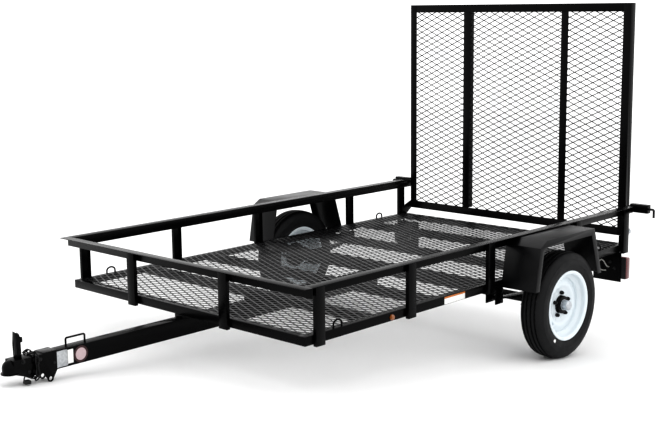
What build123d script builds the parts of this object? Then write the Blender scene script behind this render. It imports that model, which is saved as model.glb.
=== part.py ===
from build123d import *
import math
import os

# Utility trailer: an angle-iron bed with a mesh floor, a top rail on channel uprights, a mesh ramp
# gate at the back, one tongue tube with a ball coupler, and one sprung axle under square fenders.
#
# Everything is drawn level first: +X forward, +Y left, +Z up, x = 0 at the bed's front face,
# y = 0 on the centre line and z = 0 under the bed frame. With no jack under its tongue the trailer
# parks nose down on its coupler, so the last step turns it about the axle until the coupler's
# chain tabs meet the ground, and puts the origin on the ground under the middle of its box.

# ---------------------------------------------------------------- driving sizes, in millimetres
STEEL = 3.2                  # wall of every angle and channel
SEAT = 0.3                   # gap left between pieces that only rest or clip on one another

BED_LENGTH = 2438.0
BED_WIDTH = 1524.0
FRAME_LEG = 38.0             # angle of the bed frame and its crossmembers
CROSSMEMBERS = 5
CROSSMEMBER_PITCH = 406.0

RAIL_TOP = 240.0             # top rail above the underside of the frame
RAIL_DROP = 44.0             # its hanging leg
RAIL_FLANGE = 46.0           # its flat leg, pointing outwards
RAIL_OVERRUN = 68.0          # side rails behind the bed, past the gate

UPRIGHT_WIDTH = 50.8         # channel, open towards the bed
UPRIGHT_DEPTH = 18.0
UPRIGHT_FOOT = 8.0           # reach below the frame
SIDE_UPRIGHTS_X = (-71.0, -633.0, -1203.0, -1942.0, -2411.0)   # middles
FRONT_UPRIGHT_SPREAD = 305.0

MESH_THICK = 3.2
MESH_LONG = 152.4            # diamond, long way across the bed
MESH_SHORT = 69.85
STRAND_ENDS = 14.0           # metal left beyond a diamond's long corners
STRAND_SIDES = 6.0           # and beyond its short ones
MESH_RIM = 9.0               # solid band round a panel
MESH_LAP = 16.0              # floor mesh on the frame's flat leg

TONGUE_WIDTH = 51.0
TONGUE_HEIGHT = 76.0
TONGUE_WALL = 4.0
TONGUE_DROP = 16.0           # gap between frame and tongue, filled by spacers
TONGUE_FRONT = 655.0         # end of the tube ahead of the bed
TONGUE_REST = 20.0           # tube behind its last spacer
TONGUE_SPACERS = 4
SPACER_LENGTH = 38.0

HANDLE_BAR = 8.0             # bent rod handle on top of the tongue
HANDLE_X = 532.0
HANDLE_SPAN = 90.0
HANDLE_RISE = 33.0
HANDLE_BEND = 17.0

COUPLER_WALL = 4.0
COUPLER_GAP = 0.5            # tongue to coupler cheek and roof
COUPLER_BACK = 640.0
COUPLER_SHOULDER = 700.0
SHOULDER_STEP = 4.0
COUPLER_HEEL = 768.0         # where the cheeks start to rise to the socket
SOCKET_X = 832.0
SOCKET_Z = -46.0
BALL_RADIUS = 25.4
BALL_PLAY = 0.8
SOCKET_SKIRT = 24.0          # socket wall below the ball's middle
SOCKET_LIP = 6.0             # flare round its mouth
SOCKET_LIP_THICK = 4.0
CLAMP_WIDTH = 30.0
CLAMP_LENGTH = 26.0
CLAMP_PIN = 5.0
CLAMP_PIN_RISE = 14.0        # clamp pin above the socket's middle
LEVER_X = 796.0
LEVER_HEIGHT = 105.0
LEVER_WIDTH = 28.0
LEVER_DEPTH = 20.0
LEVER_SLANT = 12.0
TRIGGER_RISE = 58.0
TRIGGER_REACH = 14.0
TRIGGER_WIDTH = 10.0
TRIGGER_HEIGHT = 22.0
TAB_X = 672.0
TAB_DROP = 42.0              # chain tab below the coupler's cheek
TAB_RADIUS = 14.0
TAB_HOLE_RADIUS = 8.0
TAB_BASE = 62.0

CHAIN_WIRE = 6.0
CHAIN_LINK_WIDTH = 20.0
CHAIN_LINKS = 14
CHAIN_X = 738.0
CHAIN_LOOP_WIDTH = 88.0      # loop's centre line
CHAIN_LOOP_HEIGHT = 99.0
CHAIN_LOOP_ROUND = 18.0

AXLE_X = -1600.0
AXLE_Z = -112.0
AXLE_RADIUS = 22.2
TRACK = 1774.0               # wheel middle to wheel middle
SPINDLE_RADIUS = 13.5
RUNNING_FIT = 0.05           # round gap on the spindle and the spring bolt

SPRING_Y = 737.0
SPRING_WIDTH = 45.0
SPRING_SPAN = 630.0
SPRING_CAMBER = 22.0
LEAF_THICK = 6.0
LEAF_REACH = (1.0, 0.68, 0.42)   # share of the span, top leaf first
SPRING_SEAT = 4.0            # pad between axle and leaves
HANGER_WALL = 4.0
HANGER_SIDE_GAP = 2.0        # leaf to hanger cheek
HANGER_LENGTH = 60.0
HANGER_DEPTH = 72.0
EYE_WALL = 5.0
SPRING_BOLT = 7.0
BOLT_STICKOUT = 8.0
PLATE_LENGTH = 84.0
PLATE_WIDTH = 76.0
PLATE_THICK = 6.0

RIM_RADIUS = 168.0           # lip
RIM_WIDTH = 114.0            # lip to lip
RIM_WALL = 3.0
BEAD_RADIUS = 152.0
BEAD_SEAT = 24.0
DROP_RADIUS = 132.0
DROP_SLOPE = 12.0
DISC_SET = 8.0               # disc face outside the rim's middle
DISC_THICK = 4.0
DISC_DISH = 8.0              # from the disc's face out to its edge
DISC_FLAT_RADIUS = 88.0
DISC_EDGE_RADIUS = 112.0
PILOT_FIT = 1.0
STUD_CIRCLE_RADIUS = 57.15   # studs on a 4 1/2 inch circle
STUDS = 5
STUD_HOLE_RADIUS = 7.3
HUB_RADIUS = 43.0
HUB_BACK = 60.0              # hub behind the disc face
HUB_FLANGE_RADIUS = 70.0
HUB_FLANGE = 9.0
HUB_NOSE = 18.0              # hub barrel in front of the disc
SPINDLE_SHORT = 6.0          # spindle's end inside the hub's nose
CAP_RADIUS = 24.0
CAP_LENGTH = 36.0
CAP_ROUND = 5.0
TYRE_RADIUS = 258.0
TYRE_WIDTH = 122.0
TYRE_WALL = 13.0
TREAD_WIDTH = 92.0
TREAD_DROP = 6.0
BEAD_HEIGHT = 36.0           # bead to the widest part of the sidewall
SHOULDER_DROP = 36.0

FENDER_GAP = 2.8             # fender's top under the rail's flange
FENDER_SHEET = 2.5
FENDER_WIDTH = 190.0
FENDER_TOP_FRONT = 212.0     # ahead of the axle
FENDER_TOP_BACK = 200.0      # behind it
FENDER_BROW_FRONT = 262.0    # foot of the short slope at its front
FENDER_BROW_DROP = 30.0
FENDER_FOOT_FRONT = 297.0
FENDER_FOOT_BACK = 272.0
FENDER_FOOT_Z = 4.0
FENDER_LIP = 32.0

GATE_SETBACK = 28.0          # gate's front face behind the bed
GATE_WIDTH = 1474.0
GATE_LEG = 44.0
GATE_BOTTOM = 70.0
GATE_HEIGHT = 1230.0
GATE_BARS_Y = (-319.0, 339.0)    # middles of the two upright bars
HINGE_RISE = 26.0            # pin above the gate's foot
HINGE_RADIUS = 8.0
HINGE_FIT = 0.1
HINGE_PLATE = 6.0
HINGE_PLATE_GAP = 6.0        # gate's side to hinge plate
HINGE_PLATE_LENGTH = 105.0
HINGE_PLATE_MARGIN = 14.0    # plate round its pin
PIN_REACH = 14.0             # hinge pin past the gate's side, into the bed's middle

LATCH_LENGTH = 32.0          # housing along x
LATCH_REACH = 103.0          # out from the rail
LATCH_WALL = 3.2
LATCH_HEIGHT = 44.0
LATCH_DROP = 13.5            # pin below the rail's top
LATCH_RADIUS = 6.0
LATCH_FIT = 0.3
LATCH_DRAWN = 8.0            # pin's tip short of the gate's side
LATCH_HANDLE = 43.0
LATCH_HANDLE_OUT = 34.0
LATCH_BEND = 12.0

LAMP_DEPTH = 44.0
LAMP_WIDTH = 120.0
LAMP_HEIGHT = 118.0
LAMP_X = -2383.0             # its mounting face
LAMP_Y = 740.0
LAMP_Z = -87.0
LAMP_ROUND = 10.0
LAMP_PLATE_WIDTH = 166.0
LAMP_PLATE_INSET = 28.0      # plate's outer edge inside the lamp's
LAMP_PLATE_LOW = 162.0
MARKER_X = -517.0
MARKER_Z = 16.0
MARKER_RADIUS = 13.0
MARKER_THICK = 12.0

RING_RADIUS = 24.0           # tie-down ring, middle of its rod
RING_ROD = 8.0
RINGS_X = (-200.0, -2180.0)
RING_INSET = 14.0            # ring's middle inside the frame's edge

PLUG_RADIUS = 13.0
PLUG_LENGTH = 24.0
PLUG_X = 766.0               # plug lying across the ground
PLUG_Y = 18.0                # its back
WIRE_RADIUS = 2.5
WIRE_EXIT_Z = -72.0
GROMMET_LENGTH = 12.0

# ---------------------------------------------------------------- worked out from them
HALF_BED = BED_WIDTH / 2
DECK = FRAME_LEG
RAIL_UNDER = RAIL_TOP - STEEL
TONGUE_HALF = TONGUE_WIDTH / 2
TONGUE_TOP = -TONGUE_DROP
TONGUE_BOTTOM = TONGUE_TOP - TONGUE_HEIGHT
TONGUE_BACK = -(TONGUE_SPACERS - 1) * CROSSMEMBER_PITCH - SPACER_LENGTH - TONGUE_REST
SOCKET_RADIUS = BALL_RADIUS + BALL_PLAY
SOCKET_SHELL = SOCKET_RADIUS + COUPLER_WALL
SOCKET_MOUTH = SOCKET_Z - SOCKET_SKIRT
CHEEK = TONGUE_HALF + COUPLER_GAP
COUPLER_HALF = CHEEK + COUPLER_WALL
ROOF = TONGUE_TOP + COUPLER_GAP
NECK_TOP = ROOF + COUPLER_WALL - SHOULDER_STEP
TAB_Z = TONGUE_BOTTOM - TAB_DROP + TAB_RADIUS
WHEEL_Y = TRACK / 2
DISC_Y = WHEEL_Y + DISC_SET
GATE_FRONT = -BED_LENGTH - GATE_SETBACK
GATE_HALF = GATE_WIDTH / 2
GATE_TOP = GATE_BOTTOM + GATE_HEIGHT
HINGE_X = GATE_FRONT - GATE_LEG / 2
HINGE_Z = GATE_BOTTOM + HINGE_RISE
LATCH_Z = RAIL_TOP - LATCH_DROP
SPRING_BASE = AXLE_Z + AXLE_RADIUS + SPRING_SEAT
SPRING_TOP = SPRING_BASE + len(LEAF_REACH) * (LEAF_THICK + SEAT)
EYE_X = AXLE_X + SPRING_SPAN / 2
EYE_Z = SPRING_TOP + SPRING_CAMBER - LEAF_THICK / 2
FENDER_TOP = RAIL_UNDER - FENDER_GAP
FENDER_BENDS = ((FENDER_FOOT_FRONT, FENDER_FOOT_Z), (FENDER_BROW_FRONT, FENDER_TOP - FENDER_BROW_DROP),
                (FENDER_TOP_FRONT, FENDER_TOP), (-FENDER_TOP_BACK, FENDER_TOP), (-FENDER_FOOT_BACK, FENDER_FOOT_Z))

# Nose down: the tabs' round ends and the tyres touch one straight ground line.
TAB_RUN = TAB_X - AXLE_X
TAB_FALL = AXLE_Z - TAB_Z
PARK_PITCH = math.degrees(math.asin((TYRE_RADIUS - TAB_RADIUS) / math.hypot(TAB_RUN, TAB_FALL))
                          - math.atan2(TAB_FALL, TAB_RUN))
PARK = Pos(0, 0, TYRE_RADIUS) * Rot(0, PARK_PITCH, 0) * Pos(-AXLE_X, 0, -AXLE_Z)

nodes = {}


def box(x0, x1, y0, y1, z0, z1):
    """A block between two corners, given in any order."""
    size = (abs(x1 - x0), abs(y1 - y0), abs(z1 - z0))
    return Pos((x0 + x1) / 2, (y0 + y1) / 2, (z0 + z1) / 2) * Box(*size)


def rod(start, end, radius):
    """A round bar between two points."""
    axis = Vector(*end) - Vector(*start)
    return extrude(Plane(origin=start, z_dir=axis) * Circle(radius), axis.length)


def across(x, y0, y1, z, radius):
    """A round bar along Y."""
    return rod((x, y0, z), (x, y1, z), radius)


def side_profile(points, y0, y1):
    """A plate between two planes of constant y, drawn from the side as (x, z) points."""
    face = Plane.XZ * make_face(Polyline(*points, close=True))
    return Pos(0, y1, 0) * extrude(face, y1 - y0)


def add(name, *pieces):
    """Keep the solids of one node."""
    for piece in pieces:
        nodes.setdefault(name, []).extend(piece.solids())


def both(name, shape):
    """The piece on the left and its mirror image on the right, in one node."""
    add(name, shape, mirror(shape, Plane.XZ))


def pair(name, shape):
    """The piece on the left and its mirror image on the right, in two nodes."""
    add(f"{name}_left", shape)
    add(f"{name}_right", mirror(shape, Plane.XZ))


def mesh_panel(wide, high):
    """A plate in XY with diamond openings whose long way is along X."""
    half_long = MESH_LONG / 2 - STRAND_ENDS
    half_short = MESH_SHORT / 2 - STRAND_SIDES
    columns = int(wide / MESH_LONG) + 1
    rows = int(high / MESH_SHORT) + 1
    openings = []
    for i in range(-columns, columns + 1):
        for j in range(-rows + (i + rows) % 2, rows + 1, 2):
            x = i * MESH_LONG / 2
            y = j * MESH_SHORT / 2
            fits_wide = abs(x) + half_long < wide / 2 - MESH_RIM
            fits_high = abs(y) + half_short < high / 2 - MESH_RIM
            if fits_wide and fits_high:
                corners = [(x - half_long, y), (x, y - half_short), (x + half_long, y), (x, y + half_short)]
                openings.append(Wire.make_polygon(corners, close=True))
    a = wide / 2
    b = high / 2
    outer = Wire.make_polygon([(-a, -b), (a, -b), (a, b), (-a, b)], close=True)
    return extrude(Face(outer, openings), MESH_THICK)


# ---------------------------------------------------------------- bed
def bed_angle():
    """Angle across the bed at x = 0: hanging leg behind its front face, flat leg on top."""
    long = HALF_BED - STEEL
    flat = HALF_BED - FRAME_LEG
    bar = box(-STEEL, 0, -long, long, 0, DECK - STEEL)
    return bar + box(-FRAME_LEG, 0, -flat, flat, DECK - STEEL, DECK)


def bed_frame():
    """Perimeter and crossmembers, with every flat leg in the plane of the deck."""
    side = box(-BED_LENGTH, 0, HALF_BED - STEEL, HALF_BED, 0, DECK)
    side += box(-BED_LENGTH, 0, HALF_BED - FRAME_LEG, HALF_BED, DECK - STEEL, DECK)
    pair("frame_side", side)
    add("frame_front", bed_angle())
    add("frame_rear", Pos(-BED_LENGTH, 0, 0) * Rot(0, 0, 180) * bed_angle())
    for k in range(1, CROSSMEMBERS + 1):
        add("crossmembers", Pos(-k * CROSSMEMBER_PITCH, 0, 0) * bed_angle())


def bed_floor():
    inset = FRAME_LEG - MESH_LAP
    panel = mesh_panel(BED_WIDTH - 2 * inset, BED_LENGTH - 2 * inset)
    add("floor_mesh", Pos(-BED_LENGTH / 2, 0, DECK) * Rot(0, 0, 90) * panel)


def top_rail():
    """Angle with its hanging leg over the frame's face and its flat leg outwards, only as far as the bed."""
    tip = HALF_BED - STEEL + RAIL_FLANGE
    low = RAIL_TOP - RAIL_DROP
    back = -BED_LENGTH - RAIL_OVERRUN
    side = box(back, -STEEL, HALF_BED - STEEL, HALF_BED, low, RAIL_TOP)
    side += box(-BED_LENGTH, -STEEL, HALF_BED - STEEL, tip, RAIL_UNDER, RAIL_TOP)
    side -= across(HINGE_X, HALF_BED - 2 * STEEL, HALF_BED + STEEL, LATCH_Z, LATCH_RADIUS + LATCH_FIT)
    pair("rail_side", side)
    front = box(-STEEL, 0, -tip, tip, low, RAIL_UNDER)
    front += box(-STEEL, RAIL_FLANGE - STEEL, -tip, tip, RAIL_UNDER, RAIL_TOP)
    add("rail_front", front)


def upright():
    """Channel with its toes on x = 0 and its web in front, from its foot to the rail's flange."""
    half = UPRIGHT_WIDTH / 2
    outside = box(0, UPRIGHT_DEPTH, -half, half, -UPRIGHT_FOOT, RAIL_UNDER)
    return outside - box(0, UPRIGHT_DEPTH - STEEL, STEEL - half, half - STEEL, -UPRIGHT_FOOT, RAIL_UNDER)


def uprights():
    for x in SIDE_UPRIGHTS_X:
        pair("uprights", Pos(x, HALF_BED, 0) * Rot(0, 0, 90) * upright())
    both("uprights_front", Pos(0, FRONT_UPRIGHT_SPREAD, 0) * upright())


def tie_down_rings():
    """Half rings bent from rod, standing on the frame's flat leg."""
    section = Pos(RING_RADIUS, 0, 0) * Circle(RING_ROD / 2)
    ring = Rot(180, 0, 0) * revolve(section, Axis.Y, 180)
    stub = RING_ROD / 2
    for x in (RING_RADIUS, -RING_RADIUS):
        ring += rod((x, 0, -stub), (x, 0, 0), RING_ROD / 2)
    for x in RINGS_X:
        both("tie_down_rings", Pos(x, HALF_BED - RING_INSET, DECK + stub) * ring)


# ---------------------------------------------------------------- tongue and coupler
def tongue():
    tube = box(TONGUE_BACK, TONGUE_FRONT, -TONGUE_HALF, TONGUE_HALF, TONGUE_BOTTOM, TONGUE_TOP)
    inner = TONGUE_HALF - TONGUE_WALL
    tube -= box(TONGUE_BACK, TONGUE_FRONT, -inner, inner, TONGUE_BOTTOM + TONGUE_WALL, TONGUE_TOP - TONGUE_WALL)
    add("tongue", tube)
    for k in range(TONGUE_SPACERS):
        x = -k * CROSSMEMBER_PITCH
        add("tongue_spacers", box(x - SPACER_LENGTH, x, -TONGUE_HALF, TONGUE_HALF, TONGUE_TOP, 0))


def tongue_handle():
    """Square-shouldered rod loop to lift the tongue by."""
    back = HANDLE_X - HANDLE_SPAN / 2
    front = HANDLE_X + HANDLE_SPAN / 2
    top = TONGUE_TOP + HANDLE_RISE
    corners = [(back, 0, TONGUE_TOP), (back, 0, top), (front, 0, top), (front, 0, TONGUE_TOP)]
    path = FilletPolyline(*corners, radius=HANDLE_BEND)
    section = Plane(origin=corners[0], z_dir=(0, 0, 1)) * Circle(HANDLE_BAR / 2)
    add("tongue_handle", sweep(section, path=path))


def coupler_side(wall):
    """Side view of the coupler behind its socket, as (x, z) points, with this much roof."""
    return [(COUPLER_BACK, TONGUE_BOTTOM), (COUPLER_HEEL, TONGUE_BOTTOM), (SOCKET_X, SOCKET_MOUTH),
            (SOCKET_X, SOCKET_Z + SOCKET_RADIUS + wall),
            (COUPLER_SHOULDER + SHOULDER_STEP, ROOF - SHOULDER_STEP + wall),
            (COUPLER_SHOULDER, ROOF + wall), (COUPLER_BACK, ROOF + wall)]


def socket(radius):
    """Dome over the ball with a straight skirt below it."""
    upper = (Align.CENTER, Align.CENTER, Align.MIN)
    dome = Pos(SOCKET_X, 0, SOCKET_Z) * Sphere(radius, arc_size1=0, align=upper)
    return dome + Pos(SOCKET_X, 0, SOCKET_MOUTH) * Cylinder(radius, SOCKET_SKIRT, align=upper)


def chain_tab():
    """Tongue of plate hanging from the left cheek, with a hole near its round end."""
    half = TAB_BASE / 2
    shank = [(TAB_X - half, TONGUE_BOTTOM), (TAB_X - TAB_RADIUS, TAB_Z), (TAB_X + TAB_RADIUS, TAB_Z),
             (TAB_X + half, TONGUE_BOTTOM)]
    tab = side_profile(shank, CHEEK, COUPLER_HALF)
    tab += across(TAB_X, CHEEK, COUPLER_HALF, TAB_Z, TAB_RADIUS)
    return tab - across(TAB_X, CHEEK, COUPLER_HALF, TAB_Z, TAB_HOLE_RADIUS)


def coupler():
    """Stamped coupler: cheeks and roof over the tube, a ball socket in front and tabs below."""
    body = side_profile(coupler_side(COUPLER_WALL), -COUPLER_HALF, COUPLER_HALF)
    body += socket(SOCKET_SHELL)
    flare = Cylinder(SOCKET_SHELL + SOCKET_LIP, SOCKET_LIP_THICK)
    body += Pos(SOCKET_X, 0, SOCKET_MOUTH + SOCKET_LIP_THICK / 2) * flare
    body -= side_profile(coupler_side(0), -CHEEK, CHEEK)
    body -= socket(SOCKET_RADIUS)
    tab = chain_tab()
    add("coupler", body + tab + mirror(tab, Plane.XZ))


def coupler_clamp():
    """Block behind the ball, hung on a pin through the cheeks."""
    back = SOCKET_X - SOCKET_RADIUS - CLAMP_LENGTH / 2
    pin_z = SOCKET_Z + CLAMP_PIN_RISE
    half = CLAMP_WIDTH / 2
    block = box(back, back + CLAMP_LENGTH, -half, half, SOCKET_MOUTH, pin_z + 2 * CLAMP_PIN)
    block -= Pos(SOCKET_X, 0, SOCKET_Z) * Sphere(SOCKET_RADIUS)
    add("coupler_clamp", block + across(back + 2 * CLAMP_PIN, -CHEEK, CHEEK, pin_z, CLAMP_PIN))


def coupler_lever():
    """Upright latch lever folded from sheet, with its trigger behind."""
    half = LEVER_WIDTH / 2
    foot = NECK_TOP
    top = foot + LEVER_HEIGHT
    front = LEVER_X + LEVER_DEPTH / 2
    back = LEVER_X - LEVER_DEPTH / 2
    lever = side_profile([(back, foot), (front, foot), (front, top), (back, top - LEVER_SLANT)], -half, half)
    lever -= box(back, front - STEEL, STEEL - half, half - STEEL, foot + STEEL, top)
    thumb = TRIGGER_WIDTH / 2
    low = foot + TRIGGER_RISE
    lever += box(back - TRIGGER_REACH, front, -thumb, thumb, low, low + TRIGGER_HEIGHT)
    add("coupler_lever", lever)


def safety_chain():
    """Chain looped once round the coupler's neck, each link turned across the next."""
    loop = RectangleRounded(CHAIN_LOOP_WIDTH, CHAIN_LOOP_HEIGHT, CHAIN_LOOP_ROUND).wire()
    middle = NECK_TOP + SEAT + CHAIN_LINK_WIDTH / 2 - CHAIN_LOOP_HEIGHT / 2
    long = loop.length / CHAIN_LINKS + 2 * CHAIN_WIRE
    hole = SlotOverall(long - 2 * CHAIN_WIRE, CHAIN_LINK_WIDTH - 2 * CHAIN_WIRE)
    link = extrude(SlotOverall(long, CHAIN_LINK_WIDTH) - hole, CHAIN_WIRE / 2, both=True)
    for k in range(CHAIN_LINKS):
        point = loop.position_at(k / CHAIN_LINKS)
        along = loop.tangent_at(k / CHAIN_LINKS)
        outward = (0, along.Y, -along.X)
        normal = outward if k % 2 else (1, 0, 0)
        place = Plane(origin=(CHAIN_X, point.X, middle + point.Y), x_dir=(0, along.X, along.Y), z_dir=normal)
        add("safety_chain", place * link)


def ground_point(x, y, height):
    """The level-frame point that parks at this height above the ground, near level x."""
    return (PARK.inverse() * Pos(x - AXLE_X, y, height)).position


def wiring():
    """Light lead out of the tongue's front end, its plug lying on the ground."""
    inner = TONGUE_HALF - TONGUE_WALL - SEAT
    low = TONGUE_BOTTOM + TONGUE_WALL + SEAT
    high = TONGUE_TOP - TONGUE_WALL - SEAT
    add("wiring_grommet", box(TONGUE_FRONT - GROMMET_LENGTH, TONGUE_FRONT, -inner, inner, low, high))
    height = PLUG_RADIUS + SEAT
    back = ground_point(PLUG_X, PLUG_Y, height)
    front = ground_point(PLUG_X, PLUG_Y + PLUG_LENGTH, height)
    add("wiring_plug", rod(back, front, PLUG_RADIUS))
    route = [Vector(TONGUE_FRONT, 0, WIRE_EXIT_Z), Vector(672, 0, WIRE_EXIT_Z), Vector(700, -2, -80),
             Vector(722, -4, -84), Vector(742, -6, -86), Vector(757, -8, -90), ground_point(PLUG_X, 2, height), back]
    radii = []
    for a, b, c in zip(route, route[1:], route[2:]):
        turn = math.radians((b - a).get_angle(c - b))
        radii.append(0.45 * min((b - a).length, (c - b).length) / math.tan(turn / 2))
    print("wire radii", [round(r, 1) for r in radii])
    path = FilletPolyline(*route, radius=radii)
    section = Plane(origin=route[0], z_dir=route[1] - route[0]) * Circle(WIRE_RADIUS)
    wire = sweep(section, path=path)
    print("wire volume", round(wire.volume, 1), "and", round(math.pi * WIRE_RADIUS ** 2 * path.length, 1))
    add("wiring_cord", wire)


# ---------------------------------------------------------------- axle and springs
def axle():
    shoulder = DISC_Y - HUB_BACK - SEAT
    tip = DISC_Y + HUB_NOSE - SPINDLE_SHORT
    beam = across(AXLE_X, -shoulder, shoulder, AXLE_Z, AXLE_RADIUS)
    add("axle_beam", beam + across(AXLE_X, -tip, tip, AXLE_Z, SPINDLE_RADIUS))


def leaf_rise(distance):
    """How far a leaf has risen at this distance from the axle."""
    return SPRING_CAMBER * (distance / (SPRING_SPAN / 2)) ** 2


def leaf(half, upper):
    """One leaf with its upper face at this height in the middle."""
    x0 = AXLE_X - half
    x1 = AXLE_X + half
    lower = upper - LEAF_THICK
    rise = leaf_rise(half)
    outline = [ThreePointArc((x0, upper + rise), (AXLE_X, upper), (x1, upper + rise)),
               Line((x1, upper + rise), (x1, lower + rise)),
               ThreePointArc((x1, lower + rise), (AXLE_X, lower), (x0, lower + rise)),
               Line((x0, lower + rise), (x0, upper + rise))]
    face = Plane.XZ * make_face(outline)
    return Pos(0, SPRING_Y + SPRING_WIDTH / 2, 0) * extrude(face, SPRING_WIDTH)


def spring_packs():
    """Leaves on top of the axle, the longest with an eye at its front end."""
    y0 = SPRING_Y - SPRING_WIDTH / 2
    y1 = SPRING_Y + SPRING_WIDTH / 2
    for row, share in enumerate(LEAF_REACH):
        piece = leaf(SPRING_SPAN / 2 * share, SPRING_TOP - row * (LEAF_THICK + SEAT))
        if row == 0:
            piece += across(EYE_X, y0, y1, EYE_Z, SPRING_BOLT + EYE_WALL)
            piece -= across(EYE_X, y0, y1, EYE_Z, SPRING_BOLT + RUNNING_FIT)
        pair("spring", piece)


def spring_hangers():
    """Channels under the side frames: a bolt through the front eye, a slipper over the rear end."""
    cheek = SPRING_WIDTH / 2 + HANGER_SIDE_GAP
    outer = cheek + HANGER_WALL
    half = HANGER_LENGTH / 2
    blank = box(-half, half, SPRING_Y - outer, SPRING_Y + outer, -HANGER_DEPTH, 0)
    blank -= box(-half, half, SPRING_Y - cheek, SPRING_Y + cheek, -HANGER_DEPTH, -HANGER_WALL)
    bolt_from = SPRING_Y - outer - BOLT_STICKOUT
    bolt_to = SPRING_Y + outer + BOLT_STICKOUT
    both("spring_hangers", Pos(EYE_X, 0, 0) * blank + across(EYE_X, bolt_from, bolt_to, EYE_Z, SPRING_BOLT))
    x = AXLE_X - SPRING_SPAN / 2 + half
    pad = half / 2
    pad_z = SPRING_TOP + leaf_rise(AXLE_X - x + pad) + SEAT
    keeper_z = SPRING_TOP - LEAF_THICK + leaf_rise(AXLE_X - x - SPRING_BOLT) - SEAT - SPRING_BOLT
    rear = Pos(x, 0, 0) * blank
    rear += box(x - pad, x + pad, SPRING_Y - cheek, SPRING_Y + cheek, pad_z, -HANGER_WALL)
    rear += across(x, bolt_from, bolt_to, keeper_z, SPRING_BOLT)
    both("spring_hangers", rear)


def spring_plates():
    """Saddles between axle and leaves, and the U-bolt plates under the axle."""
    half_long = PLATE_LENGTH / 2
    half_wide = PLATE_WIDTH / 2
    y0 = SPRING_Y - half_wide
    y1 = SPRING_Y + half_wide
    saddle = box(AXLE_X - AXLE_RADIUS, AXLE_X + AXLE_RADIUS, SPRING_Y - SPRING_WIDTH / 2, SPRING_Y + SPRING_WIDTH / 2,
                 AXLE_Z, SPRING_BASE)
    both("spring_plates", saddle - across(AXLE_X, y0, y1, AXLE_Z, AXLE_RADIUS))
    under = AXLE_Z - AXLE_RADIUS
    both("spring_plates", box(AXLE_X - half_long, AXLE_X + half_long, y0, y1, under - PLATE_THICK, under))


# ---------------------------------------------------------------- wheels
def turned(profile, y):
    """A shape turned about the axle from (distance outwards, radius) points, on the left."""
    shape = revolve(make_face(Polyline(*profile, close=True)), Axis.X)
    return Pos(AXLE_X, y, AXLE_Z) * Rot(0, 0, 90) * shape


def rim_and_disc():
    w = RIM_WIDTH / 2
    t = RIM_WALL
    slope = w - BEAD_SEAT
    drop = slope - DROP_SLOPE
    outer = [(-w, RIM_RADIUS), (-w + t, RIM_RADIUS), (-w + t, BEAD_RADIUS), (-slope, BEAD_RADIUS), (-drop, DROP_RADIUS),
             (drop, DROP_RADIUS), (slope, BEAD_RADIUS), (w - t, BEAD_RADIUS), (w - t, RIM_RADIUS), (w, RIM_RADIUS)]
    inner = [(w, BEAD_RADIUS - t), (slope, BEAD_RADIUS - t), (drop, DROP_RADIUS - t), (-drop, DROP_RADIUS - t),
             (-slope, BEAD_RADIUS - t), (-w, BEAD_RADIUS - t)]
    rim = turned(outer + inner, WHEEL_Y)
    pilot = HUB_RADIUS + PILOT_FIT
    k = DISC_THICK
    edge = DROP_RADIUS - t / 2
    rim += turned([(0, pilot), (0, DISC_FLAT_RADIUS), (DISC_DISH, DISC_EDGE_RADIUS), (DISC_DISH, edge),
                   (DISC_DISH - k, edge), (DISC_DISH - k, DISC_EDGE_RADIUS + k / 2), (-k, DISC_FLAT_RADIUS + k / 2),
                   (-k, pilot)], DISC_Y)
    for n in range(STUDS):
        angle = math.radians(360 / STUDS * n + 90)
        x = AXLE_X + STUD_CIRCLE_RADIUS * math.cos(angle)
        z = AXLE_Z + STUD_CIRCLE_RADIUS * math.sin(angle)
        rim -= across(x, DISC_Y - 2 * k, DISC_Y + k, z, STUD_HOLE_RADIUS)
    return rim


def tyre():
    w = TYRE_WIDTH / 2
    bead = BEAD_RADIUS + SEAT
    edge = RIM_WIDTH / 2 - RIM_WALL - SEAT
    tread = TREAD_WIDTH / 2
    low = RIM_RADIUS + SEAT
    wide = BEAD_RADIUS + BEAD_HEIGHT
    high = TYRE_RADIUS - SHOULDER_DROP
    t = TYRE_WALL
    outside = [(-edge, bead), (-edge, low), (-w, wide), (-w, high), (-tread, TYRE_RADIUS - TREAD_DROP),
               (-tread / 2, TYRE_RADIUS), (tread / 2, TYRE_RADIUS), (tread, TYRE_RADIUS - TREAD_DROP), (w, high),
               (w, wide), (edge, low), (edge, bead)]
    under = TYRE_RADIUS - TREAD_DROP - t
    inside = [(edge - t, bead), (edge - t, low), (w - t, wide), (w - t, high), (tread - t / 2, under),
              (t / 2 - tread, under), (t - w, high), (t - w, wide), (t - edge, low), (t - edge, bead)]
    return turned(outside + inside, WHEEL_Y)


def wheels():
    pair("rim", rim_and_disc())
    pair("tyre", tyre())
    bore = SPINDLE_RADIUS + RUNNING_FIT
    flange = -DISC_THICK - SEAT
    pair("hub", turned([(-HUB_BACK, bore), (-HUB_BACK, HUB_RADIUS), (flange - HUB_FLANGE, HUB_RADIUS),
                        (flange - HUB_FLANGE, HUB_FLANGE_RADIUS), (flange, HUB_FLANGE_RADIUS), (flange, HUB_RADIUS),
                        (HUB_NOSE, HUB_RADIUS), (HUB_NOSE, bore)], DISC_Y))
    base = HUB_NOSE + SEAT
    end = base + CAP_LENGTH
    pair("dust_cap", turned([(base, 0), (base, CAP_RADIUS), (end - CAP_ROUND, CAP_RADIUS),
                             (end, CAP_RADIUS - CAP_ROUND), (end, 0)], DISC_Y))


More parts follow.
